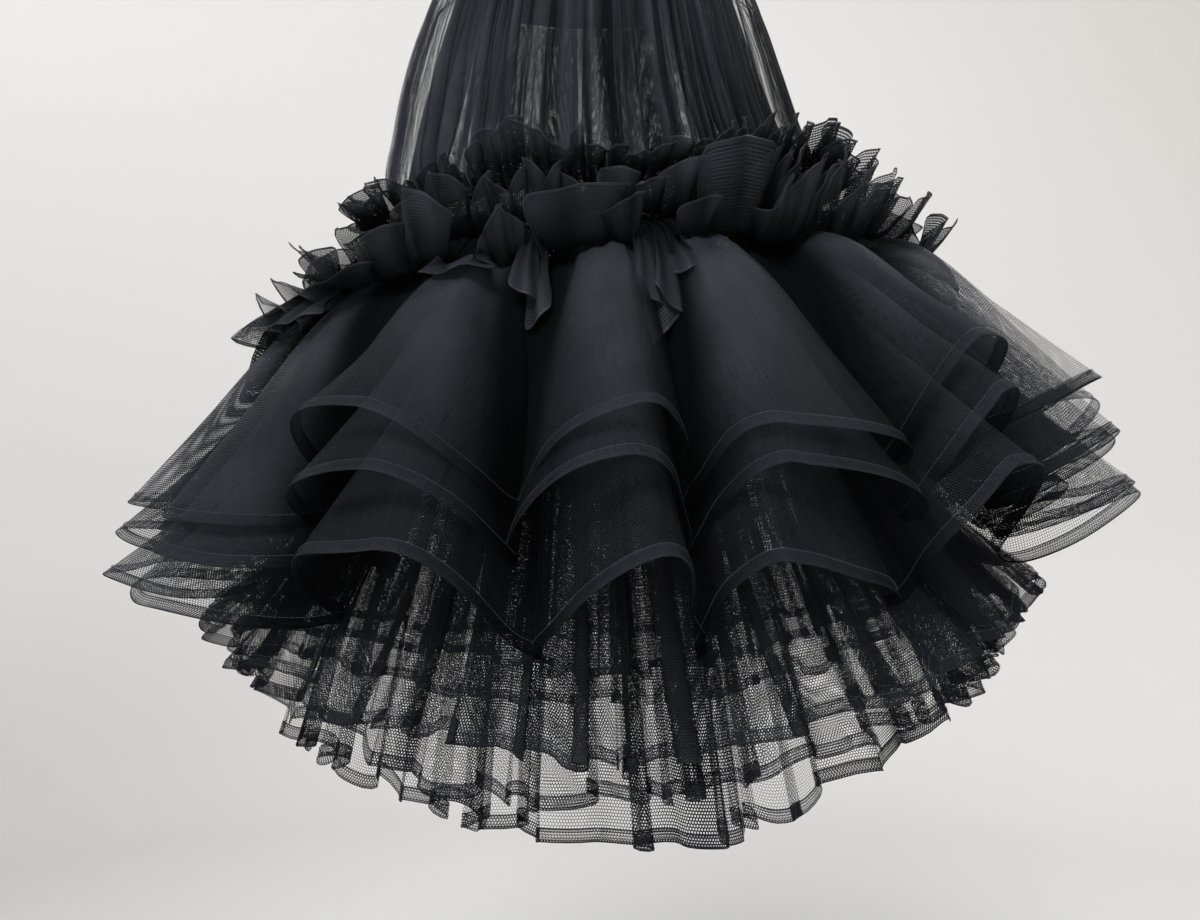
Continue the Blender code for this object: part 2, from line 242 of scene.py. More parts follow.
# The middle front and the valley at the right hang lower, and the long layers swing out there:
# how far, and the middle and width of the place in degrees.
FRONT_DIP = {"outer": 9 * MM, "middle": 1 * MM, "inner": 10 * MM}
FRONT_DIP_DEG = (7, 17)
RIGHT_DIP = {"outer": 0.0, "middle": 6 * MM, "inner": 14 * MM}
RIGHT_DIP_DEG = (54, 13)
LONG_SWING = 10 * MM
LONG_SWING_DEG = (64, 17)
HEM_SWAY = {"outer": math.radians(1.6), "middle": math.radians(2.6), "inner": math.radians(3.4)}

LONG_FOLDS = {"outer": 54, "middle": 52, "inner": 48}
LONG_WIDE_SHARE = 0.42
LONG_CALM_SIDES = 0.6
LONG_FOLD_COLUMNS = 16
LONG_ROWS = 34
LONG_SEEDS = {"outer": 41, "middle": 42, "inner": 43}
LONG_GATHER_DEPTH = 1.6 * MM

BODY_GATHERS = 64
BODY_WIDE_SHARE = 0.25
BODY_DRAWN_IN = (0, 5 * MM, 7 * MM, 0, 0)
BODY_GATHER_COLUMNS = 10
BODY_ROWS = 34
BODY_SEED = 3
OVERLAY_GATHERS = 70
OVERLAY_GATHER_COLUMNS = 8
OVERLAY_ROWS = 30
OVERLAY_SEED = 4

BAND_RIBS = 260
BAND_RIB_COLUMNS = 4
BAND_RIB_DEPTH = 0.35 * MM
BAND_STITCH_ROWS_Z = (-0.006, -0.012, -0.018, -0.024)

# How thick the net pattern's threads are drawn for a share of covered cloth: a level of the
# pattern's three crossed waves, fitted to the area that lies under it.
OPEN_COVER = 0.25
CLOSE_COVER = 0.93
COVER_SPAN = 0.45
THREAD_LOW = -1.0
THREAD_RISE = 1.5
THREAD_POWER = 1.5
THREAD_SHARPNESS = 2.2
MOST_LAYERS = 4.5
# The share of one flat layer that is thread, and how many layers lie in the small gathers.
THREAD_SHARE = {"overlay": 0.25, "body": 0.34, "ruffle": 0.40, "rim": 0.60, "net": 0.26, "long": 0.25}
GATHERED = {"overlay": 0.95, "body": 2.1, "ruffle": 3.2, "long": 1.35}
# Painted shade: how light the cloth is painted deep in its folds, as a share of its own colour, and how
# rough it is there.
PAINTED_SHADE_SHARE = 0.04
PAINTED_SHADE_ROUGHNESS = 1.0
# Colour in the holes and on the threads of closed layers, as shares of the finish's own.
WEAVE_DARK = 0.20
WEAVE_LIGHT = 1.15
WEAVE_SLOPE = 0.45
WEAVE_BUMP = 0.5
WEAVE_HEIGHT = 0.2 * MM
COLD_SHEEN = (0.82, 0.90, 1.0, 1)
# The cover of a folded hem from its upper edge over its fold to its inner edge.
HEM_COVER = np.array((0.50, 0.27, 0.27, 0.45, 0.90, 0.45, 0.27, 0.27, 0.50))[:, None]
# Where the stitches run on a hem, as a share of its depth.
HEM_STITCH_SHARE = 0.93

# Stage: one pale bowl that is floor and wall at once.
FLOOR_Z = -1.25
WALL_RADIUS = 2.75
WALL_TOP_Z = 2.6
BOWL_CURVE = 0.75
BOWL_COLUMNS = 96
# Each lamp's name, place, target, size, power and colour.
LAMPS = (
    ("key", (-0.55, -2.1, 1.5), (0, 0, -0.35), 0.9, 96, (1.0, 0.99, 0.975)),
    ("top", (-0.2, -0.5, 1.9), (0, 0, -0.3), 1.2, 8, (0.95, 0.975, 1.0)),
    ("wall", (-1.3, 1.1, 1.6), (-1.8, 2.6, 1.4), 1.2, 10, (1.0, 1.0, 1.0)),
    ("room", (-0.1, 0.4, 1.7), (-0.2, 2.6, 0.9), 1.4, 8, (1.0, 1.0, 1.0)),
    ("floor", (0.9, 0.9, 1.2), (0.6, 1.6, -1.25), 1.2, 21, (1.0, 0.99, 1.02)),
)
SKY_COLOUR = (0.95, 0.97, 1.0, 1)
SKY_STRENGTH = 0.30
# Painted shade on the wall, darker towards the upper right and the lower left: from and to across, from
# and to upwards, and what stays of its colour.
PAINTED_WALL_SHADE = (
    ((0.2, 2.0), (-0.8, 0.8), (0.74, 0.72, 0.68)),
    ((-0.2, -1.5), (-0.5, -1.15), (0.84, 0.84, 0.83)),
)


def eased(value, start, end):
    """How far value has gone from start to end, as an even rise from 0 to 1 with flat ends."""
    share = np.clip((value - start) / (end - start), 0.0, 1.0)
    return share * share * (3 - 2 * share)


def place(azimuth, radius, z, clear=0.0):
    """Points of the hanging skirt. clear goes outwards, as much at the front as at the sides."""
    azimuth, radius, z = np.broadcast_arrays(azimuth, radius, z)
    depth = DEPTH_AT_WAIST + (DEPTH_AT_HEM - DEPTH_AT_WAIST) * eased(z, DEPTH_FROM_Z, HEM_Z)
    x = (radius + clear) * np.sin(azimuth)
    y = -(radius * depth + clear) * np.cos(azimuth)
    z = z + SIDE_LIFT * np.sin(azimuth) ** 2 * eased(z, SIDE_LIFT_FROM_Z, SIDE_LIFT_FULL_Z)
    turn = ASKEW * eased(z, ASKEW_FROM_Z, ASKEW_FULL_Z)
    return np.stack((x + turn * (ASKEW_FROM_Z - z), y, z + turn * x), axis=-1)


def body_radius(z):
    """The body's radius at height z, along straight lines between its levels."""
    heights = [level.z for level in reversed(BODY_LEVELS)]
    radii = [level.radius for level in reversed(BODY_LEVELS)]
    return float(np.interp(z, heights, radii))


def smooth_rows(rings, rows):
    """Rows of points down smooth curves through the rings, evenly spaced by their length."""
    rings = np.asarray(rings)
    ends = np.concatenate((2 * rings[:1] - rings[1:2], rings, 2 * rings[-1:] - rings[-2:-1]))
    steps = np.linalg.norm(np.diff(ends, axis=0), axis=2).mean(axis=1)
    knots = np.concatenate(([0.0], np.cumsum(steps)))
    made = []
    for at in np.linspace(knots[1], knots[-2], rows):
        low = int(np.clip(np.searchsorted(knots, at, side="right") - 1, 1, len(rings) - 1))
        a, b, c, d = knots[low - 1: low + 3]
        p, q, r, s = ends[low - 1: low + 3]
        first = ((b - at) * p + (at - a) * q) / (b - a)
        second = ((c - at) * q + (at - b) * r) / (c - b)
        third = ((d - at) * r + (at - c) * s) / (d - c)
        left = ((c - at) * first + (at - a) * second) / (c - a)
        right = ((d - at) * second + (at - b) * third) / (d - b)
        made.append(((c - at) * left + (at - b) * right) / (c - b))
    return np.array(made)


def outward(points):
    """Unit normals of a closed grid of points, out of the skirt."""
    across = np.roll(points, -1, axis=1) - np.roll(points, 1, axis=1)
    down = np.gradient(points, axis=0)
    normal = np.cross(down, across)
    return normal / (np.linalg.norm(normal, axis=2, keepdims=True) + 1e-12)


def uneven_wave(angle, seed, rounds):
    """An uneven wave round the skirt, about -1 to 1, made of a few whole numbers of waves."""
    rng = np.random.default_rng(seed)
    total = np.zeros_like(angle)
    for number, count in enumerate(rounds):
        total += 1 / (1 + number) * np.sin(count * angle + rng.uniform(0, TURN))
    return total / math.sqrt(len(rounds))


def store(mesh, name, values):
    """Store one number for each point of a mesh, for its finish to read."""
    values = values.ravel().astype(np.float32)
    mesh.attributes.new(name, "FLOAT", "POINT").data.foreach_set("value", values)


def new_piece(name, points, quads, finish, painted_light):
    """A smooth piece of points and quads, with painted light and shade for each point."""
    mesh = bpy.data.meshes.new(name)
    mesh.from_pydata(points.reshape(-1, 3).tolist(), [], quads.reshape(-1, 4).tolist())
    store(mesh, "painted_light", np.broadcast_to(painted_light, points.shape[:2]))
    mesh.shade_smooth()
    mesh.materials.append(bpy.data.materials[finish])
    piece = bpy.data.objects.new(name, mesh)
    bpy.context.scene.collection.objects.link(piece)
    return piece


def cloth_piece(name, points, finish, cover=0.3, fullness=1.0, painted_light=1.0):
    """A closed tube of cloth through a grid of points, with its flat cut as UVs in metres.

    cover is the share of one flat layer that is thread. Fullness is how many layers lie on each
    other in gathers that are too small to model, and where the grid narrows, more of them do.
    The last argument is painted light: 0 paints shade deep in the folds, and 1 keeps the cloth's full
    colour.
    """
    rows, columns = points.shape[:2]
    column = np.arange(columns)
    top = np.arange(rows - 1)[:, None] * columns
    beside = (column + 1) % columns
    quads = np.stack((top + column, top + columns + column, top + columns + beside, top + beside), -1)
    piece = new_piece(name, points, quads, finish, painted_light)
    around = np.linalg.norm(np.roll(points, -1, axis=1) - points, axis=2)
    along = np.concatenate(([0.0], np.cumsum(around.max(axis=0))))
    down = np.concatenate(([0.0], np.cumsum(np.linalg.norm(np.diff(points, axis=0), axis=2).mean(1))))
    u = np.stack((along[:-1], along[:-1], along[1:], along[1:]), -1)
    u = np.broadcast_to(u, (rows - 1, columns, 4))
    v = np.stack((down[:-1], down[1:], down[1:], down[:-1]), -1)[:, None, :]
    cut = np.stack((u, np.broadcast_to(v, u.shape)), -1).astype(np.float32)
    piece.data.uv_layers.new(name="cut").data.foreach_set("uv", cut.ravel())
    layers = fullness * np.clip(around.max(axis=0) / (around + 1e-9), 1, MOST_LAYERS)
    layers = (layers + np.roll(layers, 1, axis=1) + np.roll(layers, -1, axis=1)) / 3
    covered = np.clip(1 - (1 - cover) ** layers, OPEN_COVER, CLOSE_COVER)
    level = THREAD_LOW + THREAD_RISE * ((covered - OPEN_COVER) / COVER_SPAN) ** THREAD_POWER
    store(piece.data, "thread", level)
    return piece


def along_columns(points, from_hem):
    """Points that lie on the cloth from_hem above its lower edge, in every column."""
    back = points[::-1]
    steps = np.linalg.norm(np.diff(back, axis=0), axis=2)
    run = np.concatenate((np.zeros((1, points.shape[1])), np.cumsum(steps, axis=0)))
    return np.array([
        [np.interp(from_hem, run[:, column], back[:, column, axis]) for axis in range(3)]
        for column in range(points.shape[1])
    ])


def folded_hem(name, points, depth, finish, off, cover, painted_light=1.0):
    """A hem turned up twice: a narrow double strip that folds round the cloth's lower edge."""
    face = outward(points)[-1]
    line = [along_columns(points, depth * share) for share in (1.0, 0.66, 0.33, 0.08)]
    fold = points[-1] + (points[-1] - points[-2]) * 0.02
    rows = [ring + face * off for ring in line] + [fold] + [ring - face * off for ring in line[::-1]]
    return cloth_piece(name, np.array(rows), finish, cover, painted_light=painted_light)


def stitches(name, line, face, gap, sizes):
    """A row of stitches along a closed line: short threads that stand a little off the cloth."""
    length, thick = sizes.stitch_length, sizes.thread
    ring = np.concatenate((line, line[:1]))
    normals = np.concatenate((face, face[:1]))
    run = np.concatenate(([0.0], np.cumsum(np.linalg.norm(np.diff(ring, axis=0), axis=1))))
    count = max(3, int(run[-1] / (length + gap)))
    starts = np.arange(count) * run[-1] / count
    spots = []
    for share in (0.0, 0.3, 0.7, 1.0):
        at = starts + length * share
        spots.append(np.stack([np.interp(at, run, ring[:, axis]) for axis in range(3)], -1))
    up = np.stack([np.interp(starts, run, normals[:, axis]) for axis in range(3)], -1)
    along = spots[-1] - spots[0]
    along /= np.linalg.norm(along, axis=1, keepdims=True) + 1e-12
    side = np.cross(along, up)
    sides = ((0, 1), (1, 0), (0, -1), (-1, 0))
    heights = (-0.2, 1.0, 1.0, -0.2)
    points = [
        spot + up * thick * (height + 0.5 * rise) + side * thick * 0.5 * across
        for spot, height in zip(spots, heights) for across, rise in sides
    ]
    points = np.stack(points, axis=1)
    corners = [(corner, (corner + 1) % 4) for corner in range(4)]
    faces = [(at + a, at + b, at + 4 + b, at + 4 + a) for at in (0, 4, 8) for a, b in corners]
    faces += [(3, 2, 1, 0), (12, 13, 14, 15)]
    every = np.arange(count)[:, None, None] * 16 + np.array(faces)[None]
    return new_piece(name, points, every, "thread", 1.0)


def hand_in(piece, slot_name, *nodes):
    """Ride the piece on the skirt's one body, and let it stand for its solids."""
    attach(piece, BODY)
    if nodes:
        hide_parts(*nodes)
    return piece


def fold_columns(folds, per_fold, seed, unevenness, wide_share=0.0):
    """Uneven folds round the skirt: azimuth, phase, depth, lean and width of every column.

    wide_share of the folds are broad panels that hang nearly flat; the others are narrow and deep.
    """
    rng = np.random.default_rng(seed)
    widths = 1 + unevenness * rng.uniform(-1, 1, folds) + unevenness * rng.exponential(0.5, folds)
    depths = rng.uniform(0.35, 1.5, folds)
    leans = rng.uniform(0.0, 1.0, folds) * rng.choice((-1, 1), folds)
    wide = rng.random(folds) < wide_share
    widths = np.where(wide, rng.uniform(2.2, 5.5, folds), widths)
    leans = np.where(wide, 0.42 * leans, 1.1 * leans)
    widths *= TURN / widths.sum()
    starts = np.concatenate(([0.0], np.cumsum(widths)[:-1]))
    phase = TURN * np.arange(per_fold) / per_fold
    azimuth = (starts[:, None] + widths[:, None] * phase[None] / TURN).ravel()
    every = [np.repeat(value, per_fold) for value in (depths, leans, widths)]
    depth, lean, width = (smoothed(value, per_fold // 4) for value in every)
    return azimuth, np.tile(phase, folds), depth, lean, width


def smoothed(values, reach):
    """Values round the skirt, each the mean of its neighbours up to reach away."""
    total = np.zeros_like(values)
    for step in range(-reach, reach + 1):
        total += np.roll(values, step)
    return total / (2 * reach + 1)


def fold_ring(columns, level, turned=0.0, fold=None, calm=0.0):
    """One ring of folded cloth at a level. calm is how much shallower it is at the two sides."""
    azimuth, phase, depth, lean, width = columns
    phase = phase + turned
    sides = np.sin(azimuth) ** 4
    size = level.fold if fold is None else fold
    wave = size * depth * np.cos(phase) * (1 - calm * sides)
    over = lean * np.sin(phase) / 2 - 0.10 * np.sin(2 * phase)
    over = width * (1 - 0.6 * calm * sides) * over
    share = min(1.0, size / (6 * MM))
    return place(azimuth + over * share, level.radius + wave, level.z)


# Finishes.


def add_node(tree, kind, given=(), **settings):
    """A node with its settings. given holds its inputs: each a value, or an output to link."""
    node = tree.nodes.new(kind)
    for name, value in settings.items():
        setattr(node, name, value)
    for socket, value in given:
        if isinstance(value, bpy.types.NodeSocket):
            tree.links.new(value, node.inputs[socket])
        else:
            node.inputs[socket].default_value = value
    return node


def math_node(tree, operation, *values, clamp=False):
    """The output of a Math node on values or other outputs."""
    node = add_node(tree, "ShaderNodeMath", enumerate(values), operation=operation, use_clamp=clamp)
    return node.outputs[0]


def mix_node(tree, factor, first, second, **settings):
    """The output of a Mix node between two values or two colours."""
    given = (("Factor", factor), ("A", first), ("B", second))
    return add_node(tree, "ShaderNodeMix", given, **settings).outputs["Result"]


def stored(tree, name):
    """The output of a number that is stored for each point of the mesh."""
    return add_node(tree, "ShaderNodeAttribute", attribute_name=name).outputs["Fac"]


def new_group(name, sockets):
    """An empty node group with its sockets, and its input and output nodes."""
    group = bpy.data.node_groups.new(name, "ShaderNodeTree")
    for socket, way, kind in sockets:
        group.interface.new_socket(socket, in_out=way, socket_type="NodeSocket" + kind)
    return group, group.nodes.new("NodeGroupInput").outputs, group.nodes.new("NodeGroupOutput").inputs


def net_group():
    """Hexagonal net: a mask that is 1 on threads, and the weave that shows on closed layers."""
    group, given, result = new_group("Hexagonal net", (
        ("Cut", "INPUT", "Vector"), ("Mesh", "INPUT", "Float"), ("Thread", "INPUT", "Float"),
        ("Cover", "OUTPUT", "Float"), ("Weave", "OUTPUT", "Float")))
    rate = math_node(group, "DIVIDE", TURN, given["Mesh"])
    total = None
    for way in ((0, 1, 0), (math.sqrt(3) / 2, -0.5, 0), (math.sqrt(3) / 2, 0.5, 0)):
        dot = add_node(
            group, "ShaderNodeVectorMath", ((0, given["Cut"]), (1, way)), operation="DOT_PRODUCT")
        angle = math_node(group, "MULTIPLY", dot.outputs["Value"], rate)
        wave = math_node(group, "COSINE", angle)
        total = wave if total is None else math_node(group, "ADD", total, wave)
    below = math_node(group, "SUBTRACT", given["Thread"], total)
    sharp = math_node(group, "MULTIPLY_ADD", below, THREAD_SHARPNESS, 0.5, clamp=True)
    group.links.new(sharp, result["Cover"])
    soft = math_node(group, "MULTIPLY_ADD", total, -WEAVE_SLOPE, WEAVE_SLOPE, clamp=True)
    group.links.new(soft, result["Weave"])


def uneven_group():
    """Slow uneven patches of lint, rubbing and handling, as a mask."""
    group, given, result = new_group("Uneven cloth", (
        ("Patch size", "INPUT", "Float"), ("Patches", "OUTPUT", "Float")))
    spot = add_node(group, "ShaderNodeTexCoord").outputs["Object"]
    rate = math_node(group, "DIVIDE", 1.0, given["Patch size"])
    noise = add_node(group, "ShaderNodeTexNoise", (
        ("Detail", 2.0), ("Roughness", 0.6), ("Vector", spot), ("Scale", rate)))
    stretch = add_node(group, "ShaderNodeMapRange", (
        ("From Min", 0.3), ("From Max", 0.7), ("Value", noise.outputs["Fac"])))
    group.links.new(stretch.outputs["Result"], result["Patches"])


def cloth_finish(name, colour, rubbed, net, roughness, gloss, patch=0.05):
    """A finish for cloth. net is the mesh size where the cloth is open net or tulle."""
    made = bpy.data.materials.new(name)
    made.use_nodes = True
    tree = made.node_tree
    shader = tree.nodes["Principled BSDF"].inputs
    shader["Specular IOR Level"].default_value = gloss
    shader["Specular Tint"].default_value = COLD_SHEEN
    patches = add_node(tree, "ShaderNodeGroup", node_tree=bpy.data.node_groups["Uneven cloth"])
    patches.inputs["Patch size"].default_value = patch
    patches = patches.outputs["Patches"]
    # The stored painted light mixes the colour down to painted shade, and the roughness up to matt,
    # where it is low.
    painted_light = stored(tree, "painted_light")
    mix = mix_node(tree, patches, (*colour, 1), (*rubbed, 1), data_type="RGBA")
    painted_shade = (*(PAINTED_SHADE_SHARE * value for value in colour), 1)
    tone = mix_node(tree, painted_light, painted_shade, mix, data_type="RGBA")
    rough = add_node(tree, "ShaderNodeMapRange", (
        ("To Min", roughness - 0.06), ("To Max", roughness + 0.08), ("Value", patches)))
    matt = mix_node(tree, painted_light, PAINTED_SHADE_ROUGHNESS, rough.outputs["Result"])
    tree.links.new(matt, shader["Roughness"])
    if net:
        cut = add_node(tree, "ShaderNodeUVMap", uv_map="cut").outputs["UV"]
        weave = add_node(tree, "ShaderNodeGroup", node_tree=bpy.data.node_groups["Hexagonal net"])
        weave.inputs["Mesh"].default_value = net
        tree.links.new(stored(tree, "thread"), weave.inputs["Thread"])
        tree.links.new(cut, weave.inputs["Cut"])
        tree.links.new(weave.outputs["Cover"], shader["Alpha"])
        weave = weave.outputs["Weave"]
        light = add_node(tree, "ShaderNodeMapRange", (
            ("To Min", WEAVE_DARK), ("To Max", WEAVE_LIGHT), ("Value", weave)))
        tone = mix_node(tree, 1, tone, light.outputs["Result"], data_type="RGBA", blend_type="MULTIPLY")
        raised = add_node(tree, "ShaderNodeBump", (
            ("Strength", WEAVE_BUMP), ("Distance", WEAVE_HEIGHT), ("Height", weave)))
        tree.links.new(raised.outputs["Normal"], shader["Normal"])
    tree.links.new(tone, shader["Base Color"])


# The pieces.


def around_skirt(count):
    """Angles of evenly spaced columns, once round the skirt."""
    return TURN * np.arange(count) / count


def make_flutes():
    """Crest share, azimuth, bulge room, crest and valley values of every column of a flounce."""
    columns = []
    before = FLUTES[-1]._replace(valley_deg=FLUTES[-1].valley_deg - 360)
    for flute in FLUTES:
        tilt = FLUTE_TILT * math.sin(math.radians(flute.crest_deg))
        for column in range(FLUTE_COLUMNS):
            phase = column / FLUTE_COLUMNS
            valley = before if phase < 0.5 else flute
            width = 2 * math.radians(abs(valley.valley_deg - flute.crest_deg))
            columns.append((
                0.5 - 0.5 * math.cos(TURN * phase),
                math.radians(flute.crest_deg) + width * (phase - 0.5),
                width * math.sin(TURN * phase) / TURN,
                flute.reach, flute.lift, tilt, flute.twist_mm * MM * math.sin(TURN * phase),
                valley.out, valley.valley_lift,
            ))
        before = flute
    return np.array(columns).T.copy()


def degrees_from(azimuth, middle):
    """How far an azimuth in radians is from the middle in degrees, -180 to 180."""
    return (np.degrees(azimuth) - middle + 180) % 360 - 180


def near(azimuth, middle, width):
    """1 at the middle, fading to both sides of it: azimuth in radians, the others in degrees."""
    return np.exp(-(degrees_from(azimuth, middle) / width) ** 2)


def flounce_points(level_name):
    """A flounce: fine gathers at its seam that open into deep flutes with narrow valleys."""
    crest, azimuth, room, reach, lift, tilt, twist, out, valley_lift = make_flutes()
    seam_z = FLOUNCE_SEAMS_Z[level_name]
    seed = FLOUNCE_SEEDS[level_name]
    rings = [place(azimuth, body_radius(seam_z), seam_z, clear=SEWN_ON)]
    for row in FLOUNCES[level_name]:
        low_radius = row.valley_radius + out * row.share
        low_z = row.valley_z + valley_lift * row.share
        high_radius = row.valley_radius + (row.crest_radius - row.valley_radius) * reach
        high_z = row.crest_z + lift * row.share + tilt
        radius = low_radius + (high_radius - low_radius) * crest
        z = low_z + (high_z - low_z) * crest + twist * row.share ** 1.5
        sway = row.share ** 2 * HEM_SWAY[level_name] * uneven_wave(azimuth, seed + 60, (5, 9, 14))
        full = row.bulge * FLANK_ROOM[level_name]
        rings.append(place(azimuth - full * room + sway, radius, z))
    points = smooth_rows(rings, FLOUNCE_ROWS)
    share = np.linspace(0, 1, FLOUNCE_ROWS)[:, None]
    angle = around_skirt(points.shape[1])
    gather = np.sin(SEAM_GATHERS * angle + 2.2 * uneven_wave(angle, seed, (5, 11, 17)))
    push = SEAM_GATHER_DEPTH * gather * np.exp(-share * 4.5) * np.minimum(1, share * 12)
    ripple = HEM_RIPPLE_MM[level_name] * MM
    push += share ** 1.5 * ripple * uneven_wave(angle, seed + 50, (37, 49, 61, 83))
    push += 2.6 * MM * np.sin(math.pi * share) * uneven_wave(angle, seed + 80, (9, 14, 23))
    if level_name == "outer":
        push += creased(share, azimuth)
    moved = points + outward(points) * push[:, :, None]
    dip = share ** 3 * 6.0 * MM * uneven_wave(angle, seed + 20, (11, 21, 33, 47))
    dip -= RIGHT_DIP[level_name] * share ** 3 * near(azimuth, *RIGHT_DIP_DEG)
    dip -= FRONT_DIP[level_name] * share ** 2 * near(azimuth, *FRONT_DIP_DEG)
    moved[:, :, 2] += dip
    return moved


def flounce_layers():
    """How many layers of net lie on each other round a flounce: most in the valleys, and more on
    the left side than on the right, where single sheer layers stand out.
    """
    crest, azimuth = make_flutes()[:2]
    side = np.sin(azimuth)
    layers = 1.1 + 1.9 * (1 - crest) ** 2
    return layers + 2.5 * np.clip(-side, 0, 1) ** 2 - 0.3 * np.clip(side, 0, 1) ** 3


def creased(share, azimuth):
    """How far the listed troughs and ridges push the cloth out, over the whole flounce."""
    push = np.zeros((len(share), len(azimuth)))
    for crease in CREASES:
        along = (share - crease.share_top) / (crease.share_hem - crease.share_top)
        centre = crease.azimuth_top + (crease.azimuth_hem - crease.azimuth_top) * along
        off = np.radians(degrees_from(azimuth, centre))
        width = crease.width_mm * MM / 0.30 * (0.6 + 0.5 * np.clip(along, 0, 1))
        fade = np.clip(np.sin(math.pi * np.clip(along, 0, 1)), 0, 1) ** 0.7
        push += 1.5 * crease.depth_mm * MM * fade * np.exp(-((off / width) ** 2) * 2)
    return push


def frill_loops(level_name):
    """Every loop of a ruffle: the given ones at the front, then uneven ones all round."""
    loops = [Loop(*row) for row in FRONT_LOOPS[level_name]]
    left = 360 - sum(loop.degrees for loop in loops)
    rng = np.random.default_rng(LOOP_SEEDS[level_name])
    narrow, wide = LOOP_RANGE_DEG[level_name]
    others = []
    while sum(loop.degrees for loop in others) < left - narrow / 2:
        degrees = rng.uniform(narrow, wide)
        spread = degrees * rng.uniform(1.25, 1.8)
        high = rng.uniform(0.6, 1.35) if rng.random() > 0.2 else rng.uniform(-1.0, -0.1)
        others.append(Loop(degrees, spread, high, rng.uniform(-0.4, 0.4), rng.uniform(-3, 6)))
    fit = left / sum(loop.degrees for loop in others)
    return loops + [loop._replace(degrees=loop.degrees * fit) for loop in others]


def side_end(azimuth, level_name):
    """How far out and how much higher the ruffle's ends are at each azimuth, and where they are."""
    out, high, there = (np.zeros_like(azimuth) for _ in range(3))
    for middle, width, reach, rise in SIDE_ENDS[level_name]:
        out += reach * near(azimuth, middle, width)
        high += rise * near(azimuth, middle, width)
        off = degrees_from(azimuth, middle)
        there += np.exp(-((off + 12 * np.sign(middle)) / 22) ** 2)
    return out, high, np.clip(there, 0, 1)


def rim_path(loops, seed):
    """A ruffle's rim and knee in every column: degrees round the skirt, height share, ways out,
    how deep inside a fold it is, and how far its knee sags.
    """
    corners, degrees, high, out, fold, sag = [], [], [], [], [], []
    start = FRONT_FROM_DEG
    rng = np.random.default_rng(seed + 5)
    for number, loop in enumerate(loops):
        middle = start + loop.degrees / 2
        left, right = middle - loop.spread / 2, middle + loop.spread / 2
        corners += [number + share for share in (0.06, 0.34, 0.62, 0.84)]
        degrees += [left, middle, right, middle + 0.1 * loop.spread]
        high += [loop.high * by for by in (1 - loop.lean, 1.06, 1 + loop.lean, 0.30)]
        way = loop.out_mm * MM
        flap = 1 + END_FLAPS * max(near(np.radians(middle), end, 13) for end in END_FLAPS_DEG)
        turn = rng.choice((-1, 1)) * rng.uniform(0.4, 1.0) * min(11, loop.spread * 1.6) * MM * flap
        out += [way + turn, way + 5 * MM, way - turn, way - FOLD_BACK]
        fold += [0.15, 0.0, 0.15, 1.0]
        low = rng.uniform(-3, 8) * MM
        sag += [low * 0.6, low, low * 0.6, -4 * MM]
        start += loop.degrees
    at = np.arange(len(loops) * LOOP_COLUMNS) / LOOP_COLUMNS
    corners = [corners[-1] - len(loops)] + corners + [corners[0] + len(loops)]
    made = []
    for values, step in ((degrees, 360), (high, 0), (out, 0), (fold, 0), (sag, 0)):
        values = [values[-1] - step] + values + [values[0] + step]
        made.append(np.interp(at, corners, values))
    slope = 360 / len(at) * np.arange(len(at))
    made[0] = smoothed(made[0] - slope, 1) + slope
    return made[:1] + [smoothed(values, 1) for values in made[1:]]


